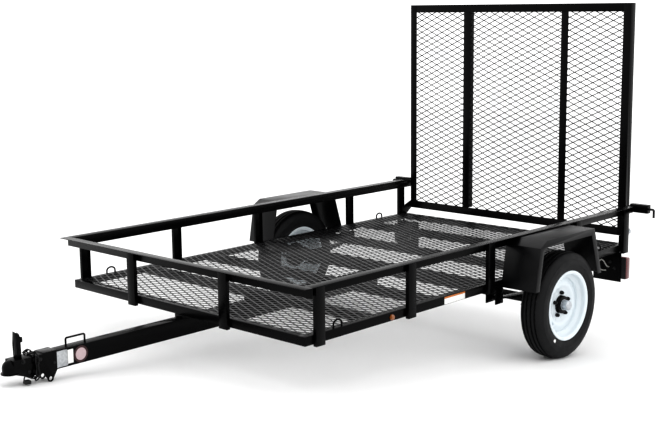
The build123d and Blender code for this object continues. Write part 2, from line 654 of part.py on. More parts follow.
# ---------------------------------------------------------------- fenders
def fender_bend(inset):
    """Side view of the fender's sheet, moved inwards by the inset, as (x, z) points."""
    foot = (0, FENDER_FOOT_Z, 1, 0)
    lines = [foot]
    for (x0, z0), (x1, z1) in zip(FENDER_BENDS, FENDER_BENDS[1:]):
        length = math.hypot(x1 - x0, z1 - z0)
        along_x = (x1 - x0) / length
        along_z = (z1 - z0) / length
        lines.append((x0 - inset * along_z, z0 + inset * along_x, along_x, along_z))
    lines.append(foot)
    points = []
    for (x0, z0, dx0, dz0), (x1, z1, dx1, dz1) in zip(lines, lines[1:]):
        t = ((x1 - x0) * dz1 - (z1 - z0) * dx1) / (dx0 * dz1 - dz0 * dx1)
        points.append((AXLE_X + x0 + t * dx0, z0 + t * dz0))
    return points


def fenders():
    """Sheet bent over the wheel in four flats, with a lip turned down along its outer edge."""
    y1 = HALF_BED + FENDER_WIDTH
    sheet = side_profile(fender_bend(0) + fender_bend(FENDER_SHEET)[::-1], HALF_BED, y1)
    lip = side_profile(fender_bend(0) + fender_bend(FENDER_LIP)[::-1], y1 - FENDER_SHEET, y1)
    pair("fender", sheet + lip)


# ---------------------------------------------------------------- ramp gate
def gate():
    """Angle frame with two upright bars, and mesh across its back."""
    x = GATE_FRONT
    leg = GATE_LEG
    inner = GATE_HALF - leg
    low = GATE_BOTTOM
    stile = box(x - STEEL, x, inner, GATE_HALF, low + STEEL, GATE_TOP - STEEL)
    stile += box(x - leg, x, GATE_HALF - STEEL, GATE_HALF, low + STEEL, GATE_TOP - STEEL)
    stile -= across(HINGE_X, GATE_HALF - 2 * STEEL, GATE_HALF + STEEL, HINGE_Z, HINGE_RADIUS + HINGE_FIT)
    stile -= across(HINGE_X, GATE_HALF - 2 * STEEL, GATE_HALF + STEEL, LATCH_Z, LATCH_RADIUS + LATCH_FIT)
    both("gate_stiles", stile)
    bottom = box(x - STEEL, x, -inner, inner, low, low + leg)
    add("gate_bottom", bottom + box(x - leg, x, -GATE_HALF, GATE_HALF, low, low + STEEL))
    top = box(x - STEEL, x, -inner, inner, GATE_TOP - leg, GATE_TOP)
    add("gate_top", top + box(x - leg, x, -GATE_HALF, GATE_HALF, GATE_TOP - STEEL, GATE_TOP))
    for y in GATE_BARS_Y:
        inward = -1 if y > 0 else 1
        edge = y + inward * leg / 2
        bar = box(x - STEEL, x, y - leg / 2, y + leg / 2, low + leg, GATE_TOP - leg)
        bar += box(x - leg + MESH_THICK, x, edge, edge - inward * STEEL, low + leg, GATE_TOP - leg)
        add("gate_bars", bar)
    panel = mesh_panel(GATE_WIDTH - 2 * STEEL, GATE_HEIGHT - 2 * STEEL)
    middle = GATE_BOTTOM + GATE_HEIGHT / 2
    add("gate_mesh", Pos(x - leg, 0, middle) * Rot(0, 0, 90) * Rot(90, 0, 0) * panel)


def gate_hinges():
    """Plates standing on the frame's flat leg, each with a pin into the gate's side."""
    y0 = GATE_HALF + HINGE_PLATE_GAP
    y1 = y0 + HINGE_PLATE
    m = HINGE_PLATE_MARGIN
    back = HINGE_X - m
    front = back + HINGE_PLATE_LENGTH
    outline = [(back, HINGE_Z - m), (-BED_LENGTH, DECK), (front, DECK), (front, HINGE_Z - m),
               (HINGE_X + m, HINGE_Z + m), (back, HINGE_Z + m)]
    plate = side_profile(outline, y0, y1)
    plate += across(HINGE_X, GATE_HALF - PIN_REACH, y1 + BOLT_STICKOUT, HINGE_Z, HINGE_RADIUS)
    both("gate_hinges", plate)


def gate_latches():
    """Spring pins in square tubes under the rail's flange, drawn back out of the gate."""
    y1 = HALF_BED + LATCH_REACH
    z0 = LATCH_Z - LATCH_HEIGHT / 2
    z1 = z0 + LATCH_HEIGHT
    half = LATCH_LENGTH / 2
    inner = half - LATCH_WALL
    housing = box(HINGE_X - half, HINGE_X + half, HALF_BED, y1, z0, z1)
    housing -= box(HINGE_X - inner, HINGE_X + inner, HALF_BED, y1 - LATCH_WALL, z0 + LATCH_WALL, z1 - LATCH_WALL)
    housing -= across(HINGE_X, HALF_BED, y1, LATCH_Z, LATCH_RADIUS + LATCH_FIT)
    both("gate_latches", housing)
    tip = (HINGE_X, GATE_HALF + LATCH_DRAWN, LATCH_Z)
    grip_y = y1 + LATCH_HANDLE_OUT - LATCH_RADIUS
    path = FilletPolyline(tip, (HINGE_X, grip_y, LATCH_Z), (HINGE_X, grip_y, LATCH_Z - LATCH_HANDLE), radius=LATCH_BEND)
    section = Plane(origin=tip, z_dir=(0, 1, 0)) * Circle(LATCH_RADIUS)
    both("latch_pins", sweep(section, path=path))


# ---------------------------------------------------------------- lamps
def lamps():
    """Square tail lamps on plates under the frame, and a round marker on each side."""
    lens = Box(LAMP_DEPTH, LAMP_WIDTH, LAMP_HEIGHT)
    lens = fillet(lens.edges().filter_by(Axis.X), LAMP_ROUND)
    both("tail_lamps", Pos(LAMP_X - LAMP_DEPTH / 2, LAMP_Y, LAMP_Z) * lens)
    edge = LAMP_Y + LAMP_WIDTH / 2 - LAMP_PLATE_INSET
    both("lamp_brackets", box(LAMP_X, LAMP_X + STEEL, edge - LAMP_PLATE_WIDTH, edge, -LAMP_PLATE_LOW, 0))
    both("side_markers", across(MARKER_X, HALF_BED, HALF_BED + MARKER_THICK, MARKER_Z, MARKER_RADIUS))


bed_frame()
bed_floor()
top_rail()
uprights()
tie_down_rings()
tongue()
tongue_handle()
coupler()
coupler_clamp()
coupler_lever()
safety_chain()
wiring()
axle()
spring_packs()
spring_hangers()
spring_plates()
wheels()
fenders()
gate()
gate_hinges()
gate_latches()
lamps()

# ---------------------------------------------------------------- parked, and centred on its box
on_cord = ("wiring_cord", "wiring_plug", "wiring_grommet")
parked = {name: PARK * Compound(pieces) for name, pieces in nodes.items()}
limits = Compound([shape for name, shape in parked.items() if name not in on_cord]).bounding_box()
CENTRE = Pos(-(limits.min.X + limits.max.X) / 2, -(limits.min.Y + limits.max.Y) / 2, -limits.min.Z)
print("park pitch", PARK_PITCH, "axle lands at x", CENTRE.position.X, "shift", CENTRE.position)
os.makedirs("parts", exist_ok=True)
for name, shape in parked.items():
    export_step(CENTRE * shape, f"parts/{name}.step")
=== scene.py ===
import math
import bmesh
import bpy
from mathutils import Matrix, Vector


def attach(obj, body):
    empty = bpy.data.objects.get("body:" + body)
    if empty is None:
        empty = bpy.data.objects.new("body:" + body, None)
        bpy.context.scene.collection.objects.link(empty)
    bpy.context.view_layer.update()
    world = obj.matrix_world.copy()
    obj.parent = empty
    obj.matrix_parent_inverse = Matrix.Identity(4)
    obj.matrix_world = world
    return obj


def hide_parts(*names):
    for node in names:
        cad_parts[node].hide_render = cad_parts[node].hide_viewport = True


# A single-axle utility trailer: gloss black angle-iron bed and rail, expanded-metal floor and ramp
# gate, white steel wheels. Every piece is drawn level in millimetres, with x ahead of the bed's
# front, y to the left and z above the frame's underside, then parked: turned nose down about the
# axle and scaled to metres.
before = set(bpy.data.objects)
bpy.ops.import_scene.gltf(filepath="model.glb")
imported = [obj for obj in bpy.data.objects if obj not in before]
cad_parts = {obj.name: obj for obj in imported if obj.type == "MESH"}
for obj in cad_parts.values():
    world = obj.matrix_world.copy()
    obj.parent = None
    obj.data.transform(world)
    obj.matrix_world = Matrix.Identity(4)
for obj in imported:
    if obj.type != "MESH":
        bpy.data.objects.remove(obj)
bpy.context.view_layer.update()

PITCH = math.radians(5.96335)
AXLE = Vector((-1600, 0, -112))
AXLE_PARKED = Vector((-0.786728, 0, 0.258))
PARK_TURN = Matrix.Rotation(PITCH, 4, "Y")
PARK = Matrix.Translation(AXLE_PARKED) @ PARK_TURN @ Matrix.Scale(0.001, 4) @ Matrix.Translation(-AXLE)
SIDES = (1, -1)              # left, right
ACROSS = Vector((0, 1, 0))

HALF_BED = 762.0
DECK = 38.0
GATE_FRONT = -2466.0
HINGE = (-2488.0, 96.0)      # x and z of the ramp's pins
LATCH_Z = 226.5
WHEEL_Y = 887.0
DISC_Y = 895.0
HUB_RADIUS = 43.0
HUB_BACK = 60.0              # hub behind the disc's face
HUB_NOSE = 18.0
CAP_RADIUS = 24.0
CAP_LENGTH = 36.0
TONGUE_FRONT = 655.0
COUPLER_BACK = 640.0
TONGUE_TOP = -16.0
TONGUE_BOTTOM = -92.0
TONGUE_HALF = 25.5
NECK_TOP = -15.5
COUPLER_HALF = 30.0
PLUG_X = 766.0               # plug on the ground, across the trailer


# ---------------------------------------------------------------- materials
def linear(colour):
    """A hex sRGB colour as a linear RGBA."""
    parts = [int(colour[k:k + 2], 16) / 255 for k in (1, 3, 5)]
    return [c / 12.92 if c <= 0.04045 else ((c + 0.055) / 1.055) ** 2.4 for c in parts] + [1.0]


def add_node(tree, kind, inputs=(), **settings):
    """One shader node, with its settings, and its sockets set or linked."""
    made = tree.nodes.new("ShaderNode" + kind)
    for key, value in settings.items():
        setattr(made, key, value)
    for key, value in dict(inputs).items():
        if isinstance(value, bpy.types.NodeSocket):
            tree.links.new(value, made.inputs[key])
        else:
            made.inputs[key].default_value = value
    return made


def make_surface(name, colours, roughness, patch_mm, grain_mm, relief_mm, inputs=()):
    """A material whose colour and gloss drift over patches, with a fine grain standing in relief."""
    material = bpy.data.materials.new(name)
    material.use_nodes = True
    tree = material.node_tree
    shader = tree.nodes["Principled BSDF"]
    for key, value in dict(inputs).items():
        shader.inputs[key].default_value = value
    place = add_node(tree, "TexCoord").outputs["Object"]
    patches = add_node(tree, "TexNoise", {"Vector": place, "Scale": 1000 / patch_mm, "Detail": 4.0})
    drift = patches.outputs[0]
    tint = add_node(tree, "Mix", {0: drift, 6: linear(colours[0]), 7: linear(colours[1])}, data_type="RGBA")
    tree.links.new(tint.outputs[2], shader.inputs["Base Color"])
    gloss = add_node(tree, "MapRange", {"Value": drift, 1: 0.3, 2: 0.7, 3: roughness[0], 4: roughness[1]})
    tree.links.new(gloss.outputs[0], shader.inputs["Roughness"])
    grain = add_node(tree, "TexNoise", {"Vector": place, "Scale": 1000 / grain_mm, "Detail": 2.0})
    relief = add_node(tree, "Bump", {"Height": grain.outputs[0], "Distance": relief_mm / 1000})
    tree.links.new(relief.outputs[0], shader.inputs["Normal"])
    return material


# Gloss powder coat, sprayed and baked: deep black with a faint orange-peel ripple, drawn at 3 mm.
gloss_black_powder_coat = make_surface(
    "gloss_black_powder_coat", ("#040405", "#080809"), (0.22, 0.3), 160, 3.0, 0.02,
    {"IOR": 1.45, "Specular IOR Level": 0.16})
# The same coat on the fenders' broad sheet, baked a little duller, so it takes more of the sky.
satin_black_powder_coat = make_surface(
    "satin_black_powder_coat", ("#08080A", "#0E0E10"), (0.3, 0.4), 160, 3.0, 0.02,
    {"IOR": 1.45, "Specular IOR Level": 0.36})
# The same coat on expanded metal, painted a little greyer: a painted sheen standing in for the sky that the
# strands reflect at a glance.
mesh_coat_painted_sheen = make_surface(
    "mesh_coat_painted_sheen", ("#141415", "#202022"), (0.26, 0.38), 60, 2.5, 0.03, {"IOR": 1.5})
# Vulcanised rubber with carbon black: dull, nearly black, with a fine moulded grain drawn at 1.5 mm.
tyre_rubber = make_surface(
    "tyre_rubber", ("#101011", "#18181A"), (0.5, 0.65), 45, 1.5, 0.06,
    {"IOR": 1.5, "Specular IOR Level": 0.3})
# Baked white enamel over a pressed steel wheel: smooth and cool white.
white_enamel = make_surface(
    "white_enamel", ("#D2DBE0", "#DEE5E9"), (0.25, 0.36), 90, 2.5, 0.02, {"IOR": 1.5, "Coat Weight": 0.3})
# Bright zinc plate on small hardware: silver with a slight blue cast and soft dulled patches.
zinc_plate = make_surface(
    "zinc_plate", ("#A9ADB2", "#CDD0D3"), (0.22, 0.42), 12, 0.9, 0.03, {"Metallic": 1.0})
# Zinc that has gone through the paint shop: dark, satin.
black_oxide_steel = make_surface(
    "black_oxide_steel", ("#1A1A1B", "#29292A"), (0.35, 0.5), 14, 0.9, 0.03, {"Metallic": 0.6})
# Moulded PVC and ABS for plug, lamp body and grommet: satin black with a fine spark-eroded texture.
black_plastic = make_surface(
    "black_plastic", ("#0E0E0F", "#161617"), (0.42, 0.55), 30, 0.8, 0.04, {"IOR": 1.49})
# PVC insulation on the lamp leads.
grey_pvc = make_surface(
    "grey_pvc", ("#8C8C88", "#A6A6A2"), (0.35, 0.45), 25, 1.0, 0.02, {"IOR": 1.5})
# Cast acrylic lenses: clear gloss outside, fluted inside.
red_acrylic = make_surface(
    "red_acrylic", ("#4E0A0E", "#641014"), (0.12, 0.2), 40, 4.0, 0.05, {"IOR": 1.49, "Coat Weight": 1.0})
amber_acrylic = make_surface(
    "amber_acrylic", ("#7A4212", "#96581C"), (0.12, 0.2), 12, 3.0, 0.05, {"IOR": 1.49, "Coat Weight": 1.0})
# Printed vinyl with nothing printed on it: flat, satin, a little uneven where it bridges the paint.
white_vinyl = make_surface(
    "white_vinyl", ("#E2E2E0", "#F0F0EE"), (0.3, 0.42), 18, 6.0, 0.05, {"IOR": 1.5})
pink_vinyl = make_surface(
    "pink_vinyl", ("#B39DA1", "#C6B3B5"), (0.3, 0.42), 18, 6.0, 0.05, {"IOR": 1.5})
maroon_vinyl = make_surface(
    "maroon_vinyl", ("#2C1215", "#38181B"), (0.3, 0.42), 18, 6.0, 0.05, {"IOR": 1.5})
orange_vinyl = make_surface(
    "orange_vinyl", ("#B5672C", "#C47836"), (0.3, 0.42), 18, 6.0, 0.05, {"IOR": 1.5})
# Self-adhesive aluminium foil, pressed on by hand: bright, with soft creases about 6 mm apart.
aluminium_foil = make_surface(
    "aluminium_foil", ("#8A8D90", "#DCDEE0"), (0.26, 0.42), 11, 6.0, 0.5, {"Metallic": 1.0})
matt_white_paper = make_surface(
    "matt_white_paper", ("#E8E8E8", "#ECECEC"), (0.85, 0.9), 900, 40.0, 0.0)


# ---------------------------------------------------------------- camera, floor and light
COVE_LOW = 1.0               # brightness of the cove's walls at floor level
COVE_HIGH = 1.12             # and of its ceiling


def set_camera():
    """Eye level, ahead of the left corner, placed in the level frame and parked with the trailer."""
    eye = Vector((3188, 3908, 1299))
    yaw, pitch, roll = (math.radians(a) for a in (-136.46, -9.68, -0.63))
    ahead = Vector((math.cos(pitch) * math.cos(yaw), math.cos(pitch) * math.sin(yaw), math.sin(pitch)))
    right = ahead.cross(Vector((0, 0, 1))).normalized()
    up = right.cross(ahead)
    tilted_right = math.cos(roll) * right + math.sin(roll) * up
    tilted_up = math.cos(roll) * up - math.sin(roll) * right
    axes = Matrix((tilted_right, tilted_up, -ahead)).transposed().to_4x4()
    data = bpy.data.cameras.new("camera")
    data.sensor_width = 36
    data.lens = 65.58
    data.shift_x = 0.0047
    data.clip_start = 0.05
    camera = bpy.data.objects.new("camera", data)
    bpy.context.scene.collection.objects.link(camera)
    camera.matrix_world = Matrix.Translation(PARK @ eye) @ PARK_TURN @ axes
    bpy.context.scene.camera = camera


def soft_light(name, size, watts, place, target):
    """A large square panel of light, aimed at a point."""
    data = bpy.data.lights.new(name, "AREA")
    data.size = size
    data.energy = watts
    lamp = bpy.data.objects.new(name, data)
    bpy.context.scene.collection.objects.link(lamp)
    aim = (Vector(target) - Vector(place)).to_track_quat("-Z", "Y")
    lamp.matrix_world = Matrix.Translation(place) @ aim.to_matrix().to_4x4()


def set_studio():
    """A white cove: pale floor, surroundings that brighten towards the ceiling, and one soft panel."""
    scene = bpy.context.scene
    scene.view_settings.view_transform = "Standard"
    scene.view_settings.look = "High Contrast"
    world = bpy.data.worlds.new("white_cove")
    scene.world = world
    world.use_nodes = True
    tree = world.node_tree
    background = tree.nodes["Background"]
    background.inputs["Color"].default_value = linear("#FFFFFF")
    direction = add_node(tree, "TexCoord").outputs["Generated"]
    height = add_node(tree, "SeparateXYZ", {"Vector": direction}).outputs["Z"]
    ramp = add_node(tree, "MapRange", {"Value": height, 1: 0.0, 2: 1.0, 3: COVE_LOW, 4: COVE_HIGH})
    tree.links.new(ramp.outputs[0], background.inputs["Strength"])
    soft_light("overhead_panel", 3.0, 14, (-0.6, 0.6, 4.0), (0, 0, 0))
    bm = bmesh.new()
    bmesh.ops.create_grid(bm, x_segments=1, y_segments=1, size=400)
    mesh = bpy.data.meshes.new("floor")
    bm.to_mesh(mesh)
    bm.free()
    floor = bpy.data.objects.new("floor", mesh)
    scene.collection.objects.link(floor)
    mesh.materials.append(matt_white_paper)


# ---------------------------------------------------------------- shapes
def round_edges(bm, verts, radius, limit=30, steps=2):
    """Roll every edge of these vertices that turns by more than the limit."""
    sharp = math.radians(limit)
    edges = {e for v in verts for e in v.link_edges if len(e.link_faces) == 2 and e.calc_face_angle() > sharp}
    bmesh.ops.bevel(bm, geom=list(edges), offset=radius, offset_type="OFFSET", segments=steps, profile=0.5,
                    affect="EDGES", clamp_overlap=True, material=-1)


def block(bm, low, high, edge=0.8):
    """A block between two corners with rolled edges."""
    low = Vector(low)
    high = Vector(high)
    size = Matrix.Diagonal((*(high - low), 1))
    made = bmesh.ops.create_cube(bm, size=1, matrix=Matrix.Translation((low + high) / 2) @ size)
    if edge:
        round_edges(bm, made["verts"], edge)
    return made["verts"]


def bar(bm, start, end, radius, tip=None, sides=28, edge=0.0):
    """A round, conical or hexagonal bar between two points."""
    start = Vector(start)
    end = Vector(end)
    turn = (end - start).to_track_quat("Z", "Y").to_matrix().to_4x4()
    made = bmesh.ops.create_cone(
        bm, cap_ends=True, segments=sides, radius1=radius, radius2=radius if tip is None else tip,
        depth=(end - start).length, matrix=Matrix.Translation((start + end) / 2) @ turn)
    if edge:
        round_edges(bm, made["verts"], edge, limit=50)


def ball(bm, centre, radius, flat=(1, 1, 1)):
    """A ball, or one squashed along the axes."""
    place = Matrix.Translation(centre) @ Matrix.Diagonal((*flat, 1))
    bmesh.ops.create_uvsphere(bm, u_segments=24, v_segments=12, radius=radius, matrix=place)


def lathe(bm, outline, centre, steps=96, closed=True, axis=ACROSS):
    """Turn (distance along the axis, radius) points into a solid of revolution."""
    centre = Vector(centre)
    spoke = Vector((0, 0, 1)) if abs(axis.z) < 0.9 else Vector((1, 0, 0))
    before = set(bm.verts)
    verts = [bm.verts.new(centre + axis * along + spoke * radius) for along, radius in outline]
    ends = verts[1:] + verts[:1] if closed else verts[1:]
    edges = [bm.edges.new(pair) for pair in zip(verts, ends)]
    bmesh.ops.spin(bm, geom=verts + edges, axis=axis, cent=centre, angle=2 * math.pi, steps=steps,
                   use_merge=True)
    fresh = [v for v in bm.verts if v not in before]
    bmesh.ops.remove_doubles(bm, verts=fresh, dist=0.001)
    fresh = [v for v in bm.verts if v not in before]
    faces = {f for v in fresh for f in v.link_faces}
    bmesh.ops.recalc_face_normals(bm, faces=list(faces))
    return fresh


def plate(bm, outline, low, high, edge=0.6):
    """A plate between two planes of constant y, drawn from the side as (x, z) points."""
    verts = [bm.verts.new((x, low, z)) for x, z in outline]
    face = bm.faces.new(verts)
    made = bmesh.ops.extrude_face_region(bm, geom=[face])
    lifted = [v for v in made["geom"] if isinstance(v, bmesh.types.BMVert)]
    bmesh.ops.translate(bm, verts=lifted, vec=(0, high - low, 0))
    verts = verts + lifted
    faces = {f for v in verts for f in v.link_faces}
    bmesh.ops.recalc_face_normals(bm, faces=list(faces))
    if edge:
        round_edges(bm, verts, edge)
    return verts


def smooth_line(name, points, radius, smooth):
    """A round curve object along the smooth line that these points control."""
    curve = bpy.data.curves.new(name, "CURVE")
    curve.dimensions = "3D"
    curve.bevel_depth = radius
    curve.bevel_resolution = 4
    curve.resolution_u = smooth
    curve.use_fill_caps = True
    spline = curve.splines.new("NURBS")
    spline.points.add(len(points) - 1)
    for point, place in zip(spline.points, points):
        point.co = (*place, 1)
    spline.order_u = 3
    spline.use_endpoint_u = True
    return bpy.data.objects.new(name, curve)


def rod(bm, points, radius):
    """A bent rod along the smooth line that these points control."""
    carrier = smooth_line("rod", points, radius, 8)
    curve = carrier.data
    mesh = bpy.data.meshes.new_from_object(carrier)
    before = set(bm.verts)
    bm.from_mesh(mesh)
    fresh = [v for v in bm.verts if v not in before]
    bmesh.ops.remove_doubles(bm, verts=fresh, dist=0.01)
    bpy.data.objects.remove(carrier)
    bpy.data.curves.remove(curve)
    bpy.data.meshes.remove(mesh)


def hex_bolt(bm, base, direction, radius=9.0, head=7.0, stud=4.0):
    """A hexagon head or nut on its washer, with the stud's end showing."""
    base = Vector(base)
    direction = Vector(direction)
    washer_top = base + direction * 1.8
    head_top = base + direction * (1.8 + head)
    bar(bm, base, washer_top, radius * 1.35, edge=0.4)
    bar(bm, washer_top, head_top, radius, sides=6, edge=0.8)
    if stud:
        bar(bm, head_top, base + direction * (1.8 + head + stud), radius * 0.52, edge=0.6)


def shade(bm, limit=35):
    """Smooth faces, with edges kept crisp where they turn by more than the limit."""
    for face in bm.faces:
        face.smooth = True
    for edge in bm.edges:
        edge.smooth = len(edge.link_faces) == 2 and edge.calc_face_angle() < math.radians(limit)


def finish_piece(name, bm, material, body, replaces=(), parked=False, limit=35):
    """Park a level mesh, give it its material and body, and hide the CAD nodes it stands for."""
    if not parked:
        bmesh.ops.transform(bm, matrix=PARK, verts=bm.verts)
    shade(bm, limit)
    mesh = bpy.data.meshes.new(name)
    bm.to_mesh(mesh)
    bm.free()
    piece = bpy.data.objects.new(name, mesh)
    bpy.context.scene.collection.objects.link(piece)
    materials = material if isinstance(material, tuple) else (material,)
    for each in materials:
        mesh.materials.append(each)
    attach(piece, body)
    if replaces:
        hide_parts(*replaces)
    return piece


def finish_pair(name, bm, material, bodies, replaces=(), limit=35):
    """The left piece and its mirror image on the right."""
    other = bm.copy()
    bmesh.ops.scale(other, vec=(1, -1, 1), verts=other.verts)
    bmesh.ops.reverse_faces(other, faces=other.faces)
    for side, mesh, body in zip(("left", "right"), (bm, other), bodies):
        nodes = [f"{node}_{side}" for node in replaces]
        finish_piece(f"{name}_{side}", mesh, material, body, nodes, limit=limit)


def add_mirror(bm):
    """The mirror image of everything so far, in the same mesh."""
    geometry = bm.verts[:] + bm.edges[:] + bm.faces[:]
    made = bmesh.ops.duplicate(bm, geom=geometry)["geom"]
    verts = [v for v in made if isinstance(v, bmesh.types.BMVert)]
    faces = [f for f in made if isinstance(f, bmesh.types.BMFace)]
    bmesh.ops.scale(bm, vec=(1, -1, 1), verts=verts)
    bmesh.ops.reverse_faces(bm, faces=faces)


def rolled_copy(node, radius, body, material=gloss_black_powder_coat, steps=2):
    """The CAD node's own shape with its edges rolled, as mill-rolled or pressed steel has them."""
    bm = bmesh.new()
    bm.from_mesh(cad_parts[node].data)
    bmesh.ops.remove_doubles(bm, verts=bm.verts, dist=0.00001)
    bmesh.ops.dissolve_limit(bm, angle_limit=math.radians(0.5), verts=bm.verts, edges=bm.edges)
    round_edges(bm, bm.verts, radius / 1000, limit=35, steps=steps)
    finish_piece(f"{node}_steel", bm, material, body, [node], parked=True)


# ---------------------------------------------------------------- wiring
def wiring():
    """Light lead from the tongue's front end, its flat plug lying on the ground."""
    level = [(TONGUE_FRONT, 0, -72), (672, 0, -72), (700, -2, -80), (722, -4, -84), (742, -6, -86),
             (757, -8, -90)]
    back = Vector(((PLUG_X - AXLE.x) / 1000 + AXLE_PARKED.x, 0.018, 0.0133))
    front = back + Vector((0, 0.024, 0))
    low = back - Vector((0, 0.016, 0))
    route = [PARK @ Vector(p) for p in level] + [low, back]
    lead = smooth_line("wiring_lead", route, radius=0.0025, smooth=16)
    bpy.context.scene.collection.objects.link(lead)
    lead.data.materials.append(black_plastic)
    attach(lead, "trailer")
    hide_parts("wiring_cord")

    bm = bmesh.new()
    body = Matrix.Translation((back + front) / 2) @ Matrix.Diagonal((0.025, 0.022, 0.015, 1))
    made = bmesh.ops.create_cube(bm, size=1, matrix=body)
    round_edges(bm, made["verts"], 0.003, steps=3)
    boot = [(0, 0.0045), (0.001, 0.0060), (0.0035, 0.0060), (0.0035, 0.0052), (0.006, 0.0052),
            (0.006, 0.0060), (0.010, 0.0066), (0.012, 0.0)]
    lathe(bm, [(0, 0), *boot], back, steps=24, closed=False)
    for k in range(4):
        across = Vector(((k - 1.5) * 0.0055, 0, 0))
        bar(bm, front + across - Vector((0, 0.004, 0)), front + across, 0.0021, sides=16, edge=0.0004)
    plug = finish_piece("wiring_plug_body", bm, black_plastic, "trailer", ["wiring_plug"], parked=True)

    bm = bmesh.new()
    block(bm, (TONGUE_FRONT - 12, -21.2, -87.7), (TONGUE_FRONT - 0.4, 21.2, -20.3), edge=2.0)
    collar = [(-2, 0), (-2, 7.5), (1.0, 7.5), (1.6, 5.2), (6, 3.6), (6, 0)]
    lathe(bm, collar, level[0], steps=24, closed=False, axis=Vector((1, 0, 0)))
    grommet = finish_piece("wiring_grommet_moulding", bm, black_plastic, "trailer", ["wiring_grommet"])


# ---------------------------------------------------------------- expanded metal
DIAMOND_LONG = 76.2          # bond to bond, three inches
DIAMOND_SHORT = 34.93


def expanded_sheet(name, wide, high, thick, strand, lean, place, body, node):
    """Expanded metal: strands that lean out of the sheet, long way of its diamonds along x."""
    bm = bmesh.new()
    count = 2 * math.ceil((wide / DIAMOND_LONG + high / DIAMOND_SHORT) / 2) + 2
    bmesh.ops.create_grid(bm, x_segments=count, y_segments=count, size=count / 2)
    turned = Matrix.Diagonal((DIAMOND_LONG / math.sqrt(2), DIAMOND_SHORT / math.sqrt(2), 1, 1))
    bmesh.ops.transform(bm, matrix=turned @ Matrix.Rotation(math.pi / 4, 4, "Z"), verts=bm.verts)
    away = [f for f in bm.faces if abs(f.calc_center_median().x) > wide / 2 + DIAMOND_LONG / 2
            or abs(f.calc_center_median().y) > high / 2 + DIAMOND_SHORT / 2]
    bmesh.ops.delete(bm, geom=away, context="FACES")
    cells = bm.faces[:]
    bmesh.ops.inset_individual(bm, faces=cells, thickness=strand / 2, use_even_offset=True)
    for cell in cells:
        corners = sorted(cell.verts, key=lambda v: v.co.y)
        corners[0].co.z += lean
        corners[-1].co.z -= lean
    bmesh.ops.delete(bm, geom=cells, context="FACES")
    for axis, reach in ((Vector((1, 0, 0)), wide / 2), (Vector((0, 1, 0)), high / 2)):
        for way in SIDES:
            everything = bm.verts[:] + bm.edges[:] + bm.faces[:]
            bmesh.ops.bisect_plane(bm, geom=everything, plane_co=axis * way * reach, plane_no=axis * way,
                                   clear_outer=True)
    bmesh.ops.solidify(bm, geom=bm.faces[:], thickness=thick)
    bmesh.ops.recalc_face_normals(bm, faces=bm.faces[:])
    bmesh.ops.transform(bm, matrix=place, verts=bm.verts)
    # The sheet's coat is painted greyer than the bed's, a painted sheen.
    finish_piece(name, bm, mesh_coat_painted_sheen, body, [node], limit=50)


def mesh_panels():
    """The floor's sheet on the angles' flat legs, and the ramp's across its back."""
    bed_middle = -1219
    flat = Matrix.Translation((bed_middle, 0, DECK + 2.8)) @ Matrix.Rotation(math.pi / 2, 4, "Z")
    expanded_sheet("floor_expanded_metal", 1480, 2394, 1.6, 4.7, 1.2, flat, "trailer", "floor_mesh")
    upright = Matrix.Rotation(math.pi / 2, 4, "Z") @ Matrix.Rotation(math.pi / 2, 4, "X")
    gate_middle = 685
    behind = Matrix.Translation((GATE_FRONT - 42.0, 0, gate_middle)) @ upright
    expanded_sheet("gate_expanded_metal", 1467.6, 1223.6, 1.2, 4.8, 1.4, behind, "gate", "gate_mesh")


# ---------------------------------------------------------------- wheels
def wheel_centre(y=WHEEL_Y):
    """The left wheel's axis at this distance out."""
    return Vector((AXLE.x, y, AXLE.z))


def tyres():
    """Narrow bias-ply road tyre: rounded walls with moulded rings, four zigzag grooves in its tread."""
    half = [(0, 258.0), (7.0, 257.8), (9.0, 251.5), (14.0, 251.3), (16.0, 257.3), (27.0, 256.3),
            (29.0, 250.0), (34.0, 249.6), (36.0, 254.9), (43.0, 252.6), (48.0, 248.0), (52.5, 240.0),
            (56.0, 231.0), (58.6, 222.5), (59.6, 222.0), (60.2, 214.0), (61.0, 205.0), (60.7, 198.0),
            (59.9, 197.6), (59.0, 190.0), (57.2, 182.0), (57.6, 181.0), (55.6, 174.5), (53.4, 168.5),
            (53.2, 156.0)]
    inside = [(40.0, 156.0), (44.0, 172.0), (49.0, 195.0), (47.0, 222.0), (36.0, 238.0), (0, 243.0)]
    upper = half + inside
    lower = [(-y, r) for y, r in reversed(upper)][1:-1]
    bm = bmesh.new()
    steps = 120
    lathe(bm, upper + lower, wheel_centre(), steps=steps)
    grooves = {9.0: 1, 14.0: 1, 29.0: -1, 34.0: -1}
    for v in bm.verts:
        out = v.co.y - WHEEL_Y
        away = Vector((v.co.x - AXLE.x, v.co.z - AXLE.z))
        near = [way for y, way in grooves.items() if abs(abs(out) - y) < 0.05]
        if near and away.length > 245:
            step = round(math.atan2(away.y, away.x) / (2 * math.pi) * steps)
            v.co.y += 2.2 * near[0] * (1 if step % 2 else -1)
    finish_pair("tyre_rubber", bm, tyre_rubber, ("wheel_left", "wheel_right"), ["tyre"], limit=30)
    bm = bmesh.new()
    mark = wheel_centre(WHEEL_Y + 59) + 191 * Vector((0.64, 0, -0.77))
    bar(bm, mark, mark + ACROSS * 1.3, 9.0, sides=20)
    finish_piece("tyre_balance_mark", bm, white_vinyl, "wheel_left")


